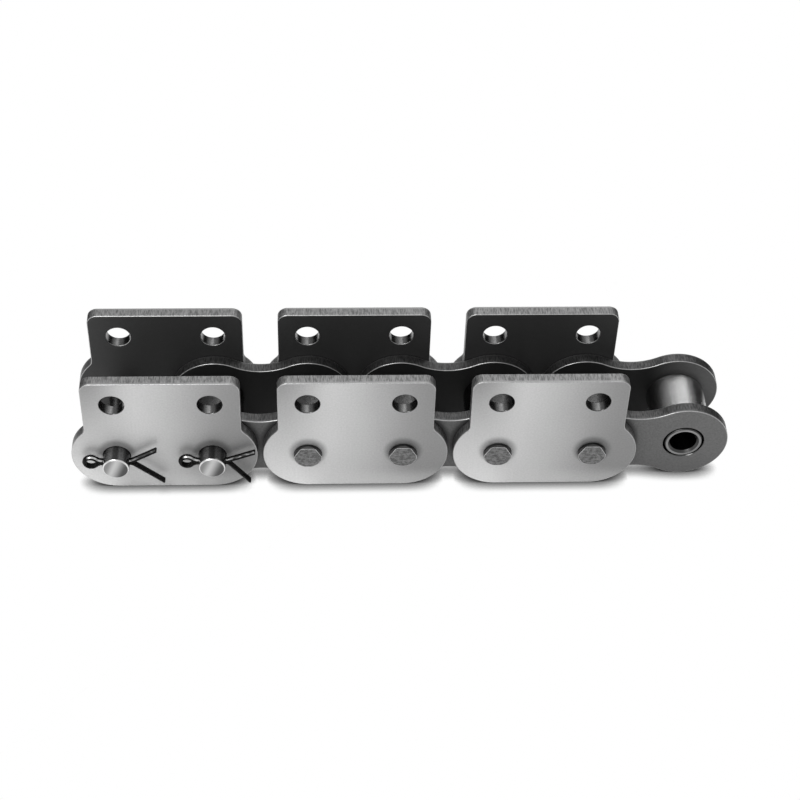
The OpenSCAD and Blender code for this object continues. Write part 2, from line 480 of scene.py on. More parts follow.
@dataclass(frozen=True)
class TurnedSteel(Finish):
    """Turned or ground steel: fine rings round the sides, chamfers, and end faces with a painted streak of
    light.
    """

    name: str
    side: float
    end: float
    chamfer: float
    side_rough: float
    end_rough: float
    fan: float = 0.0
    bands: float = 0.0
    rings: float = 0.1
    grime: float = 0.0
    dull_rear: float = 0.0

    END: ClassVar[Span] = (0.82, 0.97)
    CHAMFER: ClassVar[Span] = (0.45, 0.62)
    GRAIN: ClassVar[Scales] = (1500, 1500, 1500)
    SMEAR: ClassVar[Scales] = (90, 60, 90)
    SMEAR_SHADE: ClassVar[float] = 0.16
    GRAIN_SHADE: ClassVar[float] = 0.12
    DULL_SHADE: ClassVar[float] = 0.6
    GRAIN_ROUGH: ClassVar[float] = 0.1
    GRAIN_DEPTH: ClassVar[float] = 0.3
    RING_PITCH_MM: ClassVar[float] = 0.3
    RELIEF_MM: ClassVar[float] = 0.02
    WAVER_MM: ClassVar[float] = 1.2
    BAND_IN_MM: ClassVar[Span] = (0.8, 2.4)
    BAND_OUT_MM: ClassVar[Span] = (3.6, 5.6)
    STREAK_LEAN: ClassVar[float] = 0.4
    STREAK_RIGHT_MM: ClassVar[Span] = (-2.0, 5.0)
    STREAK_LEFT_MM: ClassVar[Span] = (-1.0, -5.5)
    LEFT_SHARE: ClassVar[float] = 0.65
    REAR_MM: ClassVar[Span] = (0.0, 1.0)

    def draw(self, sheet: NodeSheet) -> bpy.types.Material:
        """Fills a sheet with the turned steel's nodes.

        Args:
            sheet: The empty sheet.

        Returns:
            The material.
        """
        where = sheet.object_place()
        along = sheet.part(where.output("Normal"), "Y").size()
        end = sheet.ramp(along, self.END)
        chamfer = sheet.ramp(along, self.CHAMFER) - end
        rings = (sheet.part(where, "Y") * (math.tau / (self.RING_PITCH_MM * MM))).sine()
        grain = sheet.noise(where, self.GRAIN, 3)
        smear = sheet.noise(where, self.SMEAR, 2)
        from_axis = sheet.from_pin(where)
        # Painted highlight: light stripes down the pin's sides, on either side of its axis; the rest of the
        # side is painted darker.
        beside = from_axis.size() + self.WAVER_MM * MM * smear.swing()
        bright = sheet.ramp_mm(beside, self.BAND_IN_MM) - sheet.ramp_mm(beside, self.BAND_OUT_MM)
        # Painted streak of light on the front end faces: lightest just left of the axis, darker to the right
        # and far left.
        lean = from_axis - self.STREAK_LEAN * sheet.part(where, "Z")
        left_of_streak = self.LEFT_SHARE * sheet.ramp_mm(lean, self.STREAK_LEFT_MM)
        shaded = self.fan * (sheet.ramp_mm(lean, self.STREAK_RIGHT_MM) + left_of_streak)
        side = self.side * (1 - end - chamfer) * (1 - self.bands * (1 - bright))
        rear = sheet.ramp_mm(sheet.part(where, "Y"), self.REAR_MM)
        dull = 1 - self.dull_rear * rear * (1 + self.DULL_SHADE * grain.swing())
        tone = side + (self.chamfer * chamfer + self.end * end * (1 - shaded * (1 - rear))) * dull
        tone = tone * (1 + self.SMEAR_SHADE * smear.swing() + self.GRAIN_SHADE * grain.swing())
        # Painted shade on the rollers between the lugs.
        tone = tone * (1 - self.grime * sheet.between_lugs(where))
        roughness = self.side_rough + (self.end_rough - self.side_rough) * end
        roughness = roughness + self.GRAIN_ROUGH * grain.swing()
        height = self.rings * rings * (1 - end) + self.GRAIN_DEPTH * grain
        return sheet.steel(tone, roughness, height, self.RELIEF_MM)


@dataclass(frozen=True)
class PeenedSteel(Finish):
    """Pin ends struck by the riveting tool: mottled faces, dark flats and sides, and a painted highlight on
    their edges.
    """

    name: str
    dark: float
    light: float
    side: float
    rubbed: float
    rough: float

    END: ClassVar[Span] = (0.95, 0.99)
    EDGE: ClassVar[Span] = (0.74, 0.8)
    MOTTLE: ClassVar[Span] = (0.36, 0.64)
    BLOWS: ClassVar[Scales] = (520, 520, 900)
    GRAIN: ClassVar[Scales] = (2200, 2200, 2200)
    BLOW_SHARE: ClassVar[float] = 0.6
    BLOW_DEPTH: ClassVar[float] = 0.8
    GRAIN_ROUGH: ClassVar[float] = 0.2
    RELIEF_MM: ClassVar[float] = 0.08

    def draw(self, sheet: NodeSheet) -> bpy.types.Material:
        """Fills a sheet with the struck steel's nodes.

        Args:
            sheet: The empty sheet.

        Returns:
            The material.
        """
        where = sheet.object_place()
        along = sheet.part(where.output("Normal"), "Y").size()
        end = sheet.ramp(along, self.END)
        rubbed = sheet.ramp(along, self.EDGE) - end
        blows = sheet.noise(where, self.BLOWS, 3)
        grain = sheet.noise(where, self.GRAIN, 2)
        mottle = sheet.ramp(self.BLOW_SHARE * blows + (1 - self.BLOW_SHARE) * grain, self.MOTTLE)
        tone = (self.dark + (self.light - self.dark) * mottle) * end
        # Painted highlight on the narrow facets between the flats and the end's face.
        tone = tone + self.rubbed * rubbed * (1 + blows.swing())
        tone = tone + self.side * (1 - end - rubbed) * (1 + grain.swing())
        roughness = self.rough + self.GRAIN_ROUGH * grain.swing()
        height = self.BLOW_DEPTH * blows + (1 - self.BLOW_DEPTH) * grain
        return sheet.steel(tone, roughness, height, self.RELIEF_MM)


@dataclass(frozen=True)
class BlackWire(Finish):
    """Half-round wire with a glossy black skin, a painted highlight along its upper front, and faint drawing
    marks.
    """

    name: str
    tone: float
    rubbed: float
    rough: float
    gloss: float

    SHOULDER: ClassVar[Span] = (0.94, 0.995)
    UPWARD: ClassVar[Span] = (0.1, 0.4)
    SCUFFED: ClassVar[Span] = (0.42, 0.62)
    BEFORE_EYE_MM: ClassVar[Span] = (-15.8, -14.0)
    NECK_MM: ClassVar[Span] = (-7.0, -8.5)
    OIL: ClassVar[Scales] = (260, 260, 260)
    MARKS: ClassVar[Scales] = (180, 1900, 1900)
    SCUFFS: ClassVar[Scales] = (300, 900, 300)
    SHOULDER_BARE: ClassVar[float] = 0.04
    SCUFF_BARE: ClassVar[float] = 0.22
    NECK_BARE: ClassVar[float] = 0.45
    OIL_SHADE: ClassVar[float] = 0.5
    MARK_SHADE: ClassVar[float] = 0.3
    OIL_ROUGH: ClassVar[float] = 0.1
    MARK_DEPTH: ClassVar[float] = 0.6
    RELIEF_MM: ClassVar[float] = 0.03

    def draw(self, sheet: NodeSheet) -> bpy.types.Material:
        """Fills a sheet with the wire's nodes.

        Args:
            sheet: The empty sheet.

        Returns:
            The material.
        """
        where = sheet.object_place()
        oil = sheet.noise(where, self.OIL, 2)
        marks = sheet.noise(where, self.MARKS, 2)
        highlight_patches = sheet.noise(where, self.SCUFFS, 3)
        upward = sheet.part(where.output("Normal"), "Z")
        from_pin = sheet.from_pin(where)
        before_eye = sheet.ramp_mm(from_pin, self.BEFORE_EYE_MM)
        neck = sheet.ramp_mm(from_pin, self.NECK_MM)
        # Painted highlight along the wire's upper front, in patches, strongest round the eye and its neck,
        # and drawn as metal.
        highlight_line = sheet.ramp(sheet.marking(PAINTED_HIGHLIGHT), self.SHOULDER) * sheet.ramp(upward, self.UPWARD)
        patchy_highlight = self.SHOULDER_BARE + self.SCUFF_BARE * sheet.ramp(highlight_patches, self.SCUFFED)
        bare_and_painted_highlight = highlight_line * before_eye * (patchy_highlight + self.NECK_BARE * neck)
        skin = self.tone * (1 + self.OIL_SHADE * oil.swing() + self.MARK_SHADE * marks.swing())
        tone = skin + self.rubbed * bare_and_painted_highlight
        roughness = self.rough + self.OIL_ROUGH * oil.swing()
        height = self.MARK_DEPTH * marks + (1 - self.MARK_DEPTH) * oil
        return sheet.steel(tone, roughness, height, self.RELIEF_MM, metallic=bare_and_painted_highlight, specular=self.gloss)


# Lug plates: painted light and shade across the outer face, and painted shadow round the pins.
LUG_STEEL = PlateSteel(
    "lug_plate",
    face=0.46,
    inner=0.028,
    edge_dark=0.08,
    edge_light=0.2,
    corner=0.32,
    land_mm=27.6,
    sheen=0.56,
    stain=0.42,
)
# Inner plates: painted shade beside the lug plates, and an inner face painted lighter at the open end.
INNER_STEEL = PlateSteel(
    "inner_plate",
    face=0.1,
    inner=0.011,
    edge_dark=0.03,
    edge_light=0.085,
    corner=0.3,
    land_mm=21.0,
    dirt=0.55,
    open_end=5.5,
    mottle=0.7,
)
# Ground pins: painted streak of light on the front ends, and painted highlight stripes down the sides.
GROUND_PIN = TurnedSteel(
    "ground_pin",
    side=0.17,
    end=0.42,
    chamfer=0.55,
    side_rough=0.28,
    end_rough=0.36,
    fan=0.84,
    bands=0.7,
    dull_rear=0.75,
)
# Struck pin ends: painted highlight on the facets round their faces.
STRUCK_PIN = PeenedSteel("struck_pin", dark=0.07, light=0.17, side=0.04, rubbed=0.42, rough=0.42)
# Bushes: a faint painted streak of light on their end faces.
BRIGHT_BUSH = TurnedSteel(
    "bright_bush",
    side=0.04,
    end=0.22,
    chamfer=0.05,
    side_rough=0.3,
    end_rough=0.36,
    fan=0.2,
)
# Rollers: painted shade on those between the lugs.
POLISHED_ROLLER = TurnedSteel(
    "polished_roller",
    side=0.29,
    end=0.3,
    chamfer=0.3,
    side_rough=0.24,
    end_rough=0.34,
    rings=0.7,
    grime=0.75,
)
# Cotter wire: painted highlight along its top.
OILED_WIRE = BlackWire("oiled_wire", tone=0.004, rubbed=0.8, rough=0.2, gloss=0.06)


class Pen:
    """Draws an outline in one plane from the last vertex on, by straight runs and arcs."""

    LEAST_STEPS: ClassVar[int] = 4

    def __init__(
        self,
        work: Workpiece,
        across: Vector,
        up: Vector,
        start: tuple[float, float],
        arc_step: float = 3.0,
    ) -> None:
        """Puts the first vertex down.

        Args:
            work: The workpiece that it draws in.
            across: First axis of the plane.
            up: Second axis of the plane.
            start: Place of the first vertex.
            arc_step: Degrees between the vertices of an arc.
        """
        self.bm = work.bm
        self.across = across
        self.up = up
        self.arc_step = arc_step
        self.first = self.bm.verts.new(self.place(*start))
        self.last = self.first

    def place(self, u: float, v: float) -> Vector:
        """The point at a place in the plane."""
        return u * self.across + v * self.up

    def run_to(self, u: float, v: float) -> Pen:
        """Draws a straight run.

        Args:
            u: Place of its end across the plane.
            v: Place of its end up the plane.

        Returns:
            The pen.
        """
        self.last = bmesh.ops.extrude_vert_indiv(self.bm, verts=[self.last])["verts"][0]
        self.last.co = self.place(u, v)
        return self

    def arc(self, u: float, v: float, degrees: float) -> Pen:
        """Draws an arc, anticlockwise if the angle is positive.

        Args:
            u: Place of its centre across the plane.
            v: Place of its centre up the plane.
            degrees: Angle that it turns through.

        Returns:
            The pen.
        """
        swept = bmesh.ops.spin(
            self.bm,
            geom=[self.last],
            cent=self.place(u, v),
            axis=self.across.cross(self.up),
            angle=math.radians(degrees),
            steps=max(self.LEAST_STEPS, round(abs(degrees) / self.arc_step)),
        )
        self.last = next(g for g in swept["geom_last"] if isinstance(g, bmesh.types.BMVert))
        return self

    def close(self) -> None:
        """Draws the run back to the first vertex."""
        self.bm.edges.new((self.last, self.first))


class Workpiece:
    """A mesh on the bench, in millimetres."""

    TURN_STEPS: ClassVar[int] = 96
    HOLE_STEPS: ClassVar[int] = 64
    DRILL_STEPS: ClassVar[int] = 48
    FLAT: ClassVar[float] = 0.9999
    FACING: ClassVar[float] = 0.9
    RIM_DEGREES: ClassVar[float] = 60.0
    QUAD: ClassVar[int] = 4
    NORMAL_WEIGHT: ClassVar[int] = 80

    def __init__(self) -> None:
        """Starts an empty mesh."""
        self.bm = bmesh.new()

    def everything(self) -> list[Any]:
        """All vertices, edges and faces."""
        return [*self.bm.verts, *self.bm.edges, *self.bm.faces]

    def tidy(self) -> None:
        """Welds doubles and turns the faces outwards."""
        bmesh.ops.remove_doubles(self.bm, verts=self.bm.verts[:], dist=WELD)
        bmesh.ops.recalc_face_normals(self.bm, faces=self.bm.faces[:])

    def hole(self, x: float, z: float, radius: float) -> None:
        """Draws the rim of a hole in the XZ plane."""
        place = Matrix.Translation((x, 0.0, z)) @ Matrix.Rotation(math.pi / 2, 4, "X")
        bmesh.ops.create_circle(
            self.bm, cap_ends=False, radius=radius, segments=self.HOLE_STEPS, matrix=place
        )

    def mirror(self) -> None:
        """Adds the other half of an outline across the YZ plane."""
        bmesh.ops.mirror(self.bm, geom=self.everything(), matrix=Matrix(), merge_dist=WELD, axis="X")

    def blank(self, outer_y: float, inner_y: float) -> None:
        """Fills the drawn outline round its holes and gives it its thickness.

        Args:
            outer_y: Place of the outer face.
            inner_y: Place of the inner face.
        """
        bmesh.ops.triangle_fill(self.bm, use_beauty=True, use_dissolve=False, edges=self.bm.edges[:])
        bmesh.ops.translate(self.bm, vec=outer_y * AXIS_Y, verts=self.bm.verts[:])
        grown = bmesh.ops.extrude_face_region(self.bm, geom=self.bm.faces[:])["geom"]
        far_side = [g for g in grown if isinstance(g, bmesh.types.BMVert)]
        bmesh.ops.translate(self.bm, vec=(inner_y - outer_y) * AXIS_Y, verts=far_side)
        self.tidy()

    def rim(self, y: float) -> list[bmesh.types.BMEdge]:
        """Finds the sharp edges of a plate's face.

        Args:
            y: Place of the face.

        Returns:
            The edges.
        """
        self.bm.normal_update()
        level = [e for e in self.bm.edges if all(abs(v.co.y - y) < WELD for v in e.verts)]
        return [e for e in level if e.calc_face_angle(0.0) > math.radians(self.RIM_DEGREES)]

    def ease(self, edges: Sequence[bmesh.types.BMEdge], offset: float, segments: int) -> None:
        """Rounds edges, or chamfers them if there is one segment.

        Args:
            edges: The edges.
            offset: How far from them the rounding starts.
            segments: Steps of the rounding.
        """
        bmesh.ops.bevel(
            self.bm,
            geom=list(edges),
            offset=offset,
            segments=segments,
            profile=0.5,
            affect="EDGES",
            material=-1,
            loop_slide=False,
        )

    def ease_corners(self, offset: float, segments: int, sharper_than: float = 30.0) -> None:
        """Rounds every sharp edge.

        Args:
            offset: How far from an edge the rounding starts.
            segments: Steps of the rounding.
            sharper_than: Angle in degrees from which an edge is sharp.
        """
        self.bm.normal_update()
        limit = math.radians(sharper_than)
        self.ease([e for e in self.bm.edges if e.calc_face_angle(0.0) > limit], offset, segments)

    def oil(self, x: float, z: float, reach: float) -> None:
        """Marks the walls of two holes that are mirror images, for painted shade and a smoother finish.

        Args:
            x: Distance of the holes' axes from the middle of the plate.
            z: Height of their axes.
            reach: Radius from the axes that the marking reaches to.
        """
        self.bm.normal_update()
        marking = self.bm.faces.layers.float.get(SHADED_BORE) or self.bm.faces.layers.float.new(SHADED_BORE)
        for face in self.bm.faces:
            middle = face.calc_center_median()
            near = math.hypot(abs(middle.x) - x, middle.z - z) < reach
            if near and abs(face.normal.y) < self.FACING:
                face[marking] = 1.0

    def turn(self) -> None:
        """Spins a half profile a full turn about the Y axis, and closes its ends where it is open."""
        bmesh.ops.spin(
            self.bm,
            geom=self.everything(),
            cent=(0.0, 0.0, 0.0),
            axis=AXIS_Y,
            angle=math.tau,
            steps=self.TURN_STEPS,
            use_merge=True,
        )
        open_ends = [e for e in self.bm.edges if e.is_boundary]
        bmesh.ops.holes_fill(self.bm, edges=open_ends, sides=0)
        self.tidy()

    def cut_flat(self, point: Vector, normal: Vector) -> None:
        """Cuts away what lies beyond a plane and closes the cut.

        Args:
            point: A point of the plane.
            normal: The way that the cut face looks.
        """
        cut = bmesh.ops.bisect_plane(
            self.bm, geom=self.everything(), dist=WELD, plane_co=point, plane_no=normal, clear_outer=True
        )
        loop = [g for g in cut["geom_cut"] if isinstance(g, bmesh.types.BMEdge)]
        bmesh.ops.edgeloop_fill(self.bm, edges=loop)

    def drill(self, centre: Vector, radius: float, length: float) -> None:
        """Drills a hole along X.

        Args:
            centre: Middle of the hole.
            radius: Radius of the drill.
            length: Length of the drill.
        """
        bit = bmesh.new()
        place = Matrix.Translation(centre) @ Matrix.Rotation(math.pi / 2, 4, "Y")
        bmesh.ops.create_cone(
            bit,
            cap_ends=True,
            segments=self.DRILL_STEPS,
            radius1=radius,
            radius2=radius,
            depth=length,
            matrix=place,
        )
        drill_bit = object_from(bit, "drill_bit")
        blank = object_from(self.bm, "undrilled")
        hole = blank.modifiers.new("hole", "BOOLEAN")
        hole.object = drill_bit
        hole.operation = "DIFFERENCE"
        graph = bpy.context.evaluated_depsgraph_get()
        drilled = bpy.data.meshes.new_from_object(blank.evaluated_get(graph))
        self.bm = bmesh.new()
        self.bm.from_mesh(drilled)
        for used in (blank, drill_bit):
            bpy.data.objects.remove(used)
        self.tidy()

    def finish(self, name: str, place: Vector) -> bpy.types.Object:
        """Sets the piece in its place and makes it an object in metres.

        Args:
            name: The object's name.
            place: Where the bench's origin goes in the chain.

        Returns:
            The object.
        """
        bmesh.ops.translate(self.bm, vec=place, verts=self.bm.verts[:])
        bmesh.ops.scale(self.bm, vec=Vector((MM, MM, MM)), verts=self.bm.verts[:])
        self.bm.normal_update()
        for face in self.bm.faces:
            face.smooth = len(face.verts) <= self.QUAD and abs(face.normal.y) < self.FLAT
        piece = object_from(self.bm, name)
        weighted = piece.modifiers.new("large_faces_lead", "WEIGHTED_NORMAL")
        weighted.keep_sharp = True
        weighted.weight = self.NORMAL_WEIGHT
        return piece


def grey(tone: float) -> tuple[float, float, float, float]:
    """The opaque grey of a tone."""
    return (tone, tone, tone, 1.0)


def object_from(bm: bmesh.types.BMesh, name: str) -> bpy.types.Object:
    """Makes an object of a mesh and frees the mesh.

    Args:
        bm: The mesh.
        name: The object's name.

    Returns:
        The object, linked to the scene.
    """
    mesh = bpy.data.meshes.new(name)
    bm.to_mesh(mesh)
    bm.free()
    made = bpy.data.objects.new(name, mesh)
    bpy.context.scene.collection.objects.link(made)
    return made


@dataclass
class ChainPiece:
    """One steel piece that stands for a node of the frame, with that node's box in millimetres."""

    node: str

    slot: ClassVar[str]
    finish: ClassVar[Finish]

    def __post_init__(self) -> None:
        """Reads the node's box."""
        low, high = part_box(self.node)
        self.low = low / MM
        self.high = high / MM

    @property
    def place(self) -> Vector:
        """Where the bench's origin goes in the chain."""
        return (self.low.x + self.high.x) / 2 * AXIS_X

    def shape(self, work: Workpiece) -> None:
        """Shapes the piece about its own place along the chain."""
        raise NotImplementedError

    def make(self, nodes: dict[str, bpy.types.Object]) -> None:
        """Shapes and dresses the piece, and hangs it on its node's body.

        Args:
            nodes: The frame's nodes.
        """
        work = Workpiece()
        self.shape(work)
        piece = work.finish(f"steel_{self.node}", self.place)
        piece.data.materials.append(self.finish.material())
        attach(piece, nodes[self.node]["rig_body"])
        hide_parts(self.node)
        LOG.info("%s: %d faces", piece.name, len(piece.data.polygons))


@dataclass
class Plate(ChainPiece):
    """A blanked plate of either kind of link."""

    side: Side = Side.FRONT
    roll: float = 0.5
    roll_steps: int = 4
    break_edge: float = 0.35
    break_steps: int = 2

    @property
    def round_radius(self) -> float:
        """Radius of the plate's round ends, which are centred on the pin axes."""
        return -self.low.z

    @property
    def half_pitch(self) -> float:
        """Half the distance between the plate's two pin axes."""
        return (self.high.x - self.low.x) / 2 - self.round_radius

    @property
    def outer_y(self) -> float:
        """Place of the face that looks away from the chain."""
        return self.low.y if self.side is Side.FRONT else self.high.y

    @property
    def inner_y(self) -> float:
        """Place of the face that looks to the middle of the chain."""
        return self.high.y if self.side is Side.FRONT else self.low.y


@dataclass
class LugPlate(Plate):
    """Outer plate with a straight lug that holds two bolts."""

    lug_width: float = 82.55
    corner_radius: float = 5.5
    fillet_radius: float = 5.0
    pin_hole_radius: float = 7.145
    bolt_height: float = 38.1
    bolt_spacing: float = 50.8
    bolt_hole_radius: float = 6.5

    slot = "lug_steel"
    finish = LUG_STEEL

    def shape(self, work: Workpiece) -> None:
        """Draws half the outline, mirrors and blanks it, and rolls its edges.

        Args:
            work: The empty workpiece.
        """
        ends = self.round_radius
        half = self.half_pitch
        top = self.high.z
        side_x = self.lug_width / 2
        reach = side_x + self.fillet_radius
        rise = math.sqrt((ends + self.fillet_radius) ** 2 - (reach - half) ** 2)
        shoulder = math.degrees(math.atan2(rise, reach - half))
        pen = Pen(work, AXIS_X, AXIS_Z, (0.0, -ends))
        pen.run_to(half, -ends).arc(half, 0.0, 90 + shoulder).arc(reach, rise, -shoulder)
        pen.run_to(side_x, top - self.corner_radius)
        pen.arc(side_x - self.corner_radius, top - self.corner_radius, 90).run_to(0.0, top)
        work.hole(half, 0.0, self.pin_hole_radius)
        work.hole(self.bolt_spacing / 2, self.bolt_height, self.bolt_hole_radius)
        work.mirror()
        work.blank(self.outer_y, self.inner_y)
        work.ease(work.rim(self.outer_y), self.roll, self.roll_steps)
        work.ease(work.rim(self.inner_y), self.break_edge, self.break_steps)
        work.oil(half, 0.0, self.pin_hole_radius + self.roll)
        work.oil(self.bolt_spacing / 2, self.bolt_height, self.bolt_hole_radius + self.roll)


@dataclass
class InnerPlate(Plate):
    """Waisted inner plate that holds two bushes."""

    waist_depth: float = 36.0
    bush_hole_radius: float = 10.195
    bush_hole_chamfer: float = 1.1

    slot = "inner_steel"
    finish = INNER_STEEL

    def shape(self, work: Workpiece) -> None:
        """Draws half the outline, mirrors and blanks it, chamfers the bush holes and rolls the edges.

        Args:
            work: The empty workpiece.
        """
        ends = self.round_radius
        half = self.half_pitch
        waist = self.waist_depth / 2
        hollow = (half**2 + waist**2 - ends**2) / (2 * (ends - waist))
        lean = math.degrees(math.atan2(waist + hollow, half))
        pen = Pen(work, AXIS_X, AXIS_Z, (0.0, -waist))
        pen.arc(0.0, -waist - hollow, lean - 90).arc(half, 0.0, 360 - 2 * lean)
        pen.arc(0.0, waist + hollow, lean - 90)
        work.hole(half, 0.0, self.bush_hole_radius)
        work.mirror()
        work.blank(self.outer_y, self.inner_y)
        mouth = [e for e in work.rim(self.outer_y) if self.on_bush_hole(e)]
        work.ease(mouth, self.bush_hole_chamfer, 1)
        outline = [e for e in work.rim(self.outer_y) if not self.on_bush_hole(e)]
        work.ease(outline, self.roll, self.roll_steps)
        work.ease(work.rim(self.inner_y), self.break_edge, self.break_steps)
        work.oil(half, 0.0, self.bush_hole_radius + self.bush_hole_chamfer)

    def on_bush_hole(self, edge: bmesh.types.BMEdge) -> bool:
        """Tells whether an edge is on the rim of a bush hole.

        Args:
            edge: The edge.

        Returns:
            True if it is.
        """
        middle = (edge.verts[0].co + edge.verts[1].co) / 2
        reach = self.bush_hole_radius + 2 * self.bush_hole_chamfer
        return math.hypot(abs(middle.x) - self.half_pitch, middle.z) < reach


@dataclass
class RivetedPin(ChainPiece):
    """Pin that is riveted over at both ends, each with six flats struck round it."""

    pin_radius: float = 7.135
    head_height: float = 2.4
    upper_flat_depth: float = 1.0
    lower_flat_depth: float = 0.4
    flats: int = 6
    rim_roll: float = 0.35
    rim_steps: int = 3
    rubbed_depth: float = 0.045

    slot = "pin_steel"
    finish = STRUCK_PIN

    @property
    def head_radius(self) -> float:
        """Radius of the spread ends."""
        return (self.high.x - self.low.x) / 2

    def strike_flats(self, work: Workpiece, end_y: float) -> None:
        """Cuts the ring of flats at one end, and a narrow facet between each flat and the end's face that
        carries a painted highlight.

        Args:
            work: The turned pin.
            end_y: Place of that end's face.
        """
        outward = math.copysign(1.0, end_y) * AXIS_Y
        for n in range(self.flats):
            way = Matrix.Rotation(math.tau * n / self.flats, 3, "Y") @ AXIS_Z
            depth = self.upper_flat_depth if way.z > 0 else self.lower_flat_depth
            point = end_y * AXIS_Y + (self.head_radius - depth) * way
            flat = (way + outward).normalized()
            between = (flat + outward).normalized()
            work.cut_flat(point, flat)
            work.cut_flat(point - self.rubbed_depth * between, between)

    def shape(self, work: Workpiece) -> None:
        """Turns the pin with its two spread ends, rolls their rims and strikes the flats.

        Args:
            work: The empty workpiece.
        """
        end_y = self.high.y
        face_y = end_y - self.head_height
        pen = Pen(work, AXIS_X, AXIS_Y, (self.head_radius, -end_y))
        pen.run_to(self.head_radius, -face_y).run_to(self.pin_radius, -face_y)
        pen.run_to(self.pin_radius, face_y).run_to(self.head_radius, face_y).run_to(self.head_radius, end_y)
        work.turn()
        work.ease_corners(self.rim_roll, self.rim_steps)
        self.strike_flats(work, end_y)
        self.strike_flats(work, -end_y)
        work.tidy()


@dataclass
class ConnectingPin(RivetedPin):
    """Pin of the connecting link: riveted at the rear, drilled for a cotter at the front."""

    tail_chamfer: float = 0.8
    tail_height: float = 9.9
    cotter_offset: float = 4.2
    cotter_hole_radius: float = 2.0

    finish = GROUND_PIN

    def shape(self, work: Workpiece) -> None:
        """Turns the pin, strikes its rear end, and chamfers and drills its front end.

        Args:
            work: The empty workpiece.
        """
        end_y = self.high.y
        face_y = end_y - self.head_height
        tail_y = self.low.y
        pen = Pen(work, AXIS_X, AXIS_Y, (self.pin_radius - self.tail_chamfer, tail_y))
        pen.run_to(self.pin_radius, tail_y + self.tail_chamfer).run_to(self.pin_radius, face_y)
        pen.run_to(self.head_radius, face_y).run_to(self.head_radius, end_y)
        work.turn()
        work.ease_corners(self.rim_roll, self.rim_steps)
        self.strike_flats(work, end_y)
        work.tidy()
        drill_y = tail_y + self.tail_height - self.cotter_offset
        work.drill(drill_y * AXIS_Y, self.cotter_hole_radius, 3 * self.pin_radius)


@dataclass
class Bush(ChainPiece):
    """Bush pressed into the inner plates, with a chamfered mouth at both ends."""

    bore_radius: float = 7.185
    mouth: float = 1.2
    chamfer: float = 0.6
    corner_round: float = 0.12
    corner_steps: int = 2

    slot = "bush_steel"
    finish = BRIGHT_BUSH

    def shape(self, work: Workpiece) -> None:
        """Turns the bush and eases its corners.

        Args:
            work: The empty workpiece.
        """
        wall = (self.high.x - self.low.x) / 2
        end_y = self.high.y
        pen = Pen(work, AXIS_X, AXIS_Y, (self.bore_radius + self.mouth, -end_y))
        pen.run_to(wall - self.chamfer, -end_y).run_to(wall, -end_y + self.chamfer)
        pen.run_to(wall, end_y - self.chamfer).run_to(wall - self.chamfer, end_y)
        pen.run_to(self.bore_radius + self.mouth, end_y).run_to(self.bore_radius, end_y - self.mouth)
        pen.run_to(self.bore_radius, -end_y + self.mouth).close()
        work.turn()
        work.ease_corners(self.corner_round, self.corner_steps)


@dataclass
class Roller(ChainPiece):
    """Polished roller that turns on its bush."""

    bore_radius: float = 10.265
    chamfer: float = 1.4
    corner_round: float = 0.35
    corner_steps: int = 3

    slot = "roller_steel"
    finish = POLISHED_ROLLER

    def shape(self, work: Workpiece) -> None:
        """Turns the roller and eases its corners.

        Args:
            work: The empty workpiece.
        """
        tread = (self.high.x - self.low.x) / 2
        end_y = self.high.y
        pen = Pen(work, AXIS_X, AXIS_Y, (self.bore_radius, -end_y))
        pen.run_to(tread - self.chamfer, -end_y).run_to(tread, -end_y + self.chamfer)
        pen.run_to(tread, end_y - self.chamfer).run_to(tread - self.chamfer, end_y)
        pen.run_to(self.bore_radius, end_y).close()
        work.turn()
        work.ease_corners(self.corner_round, self.corner_steps)


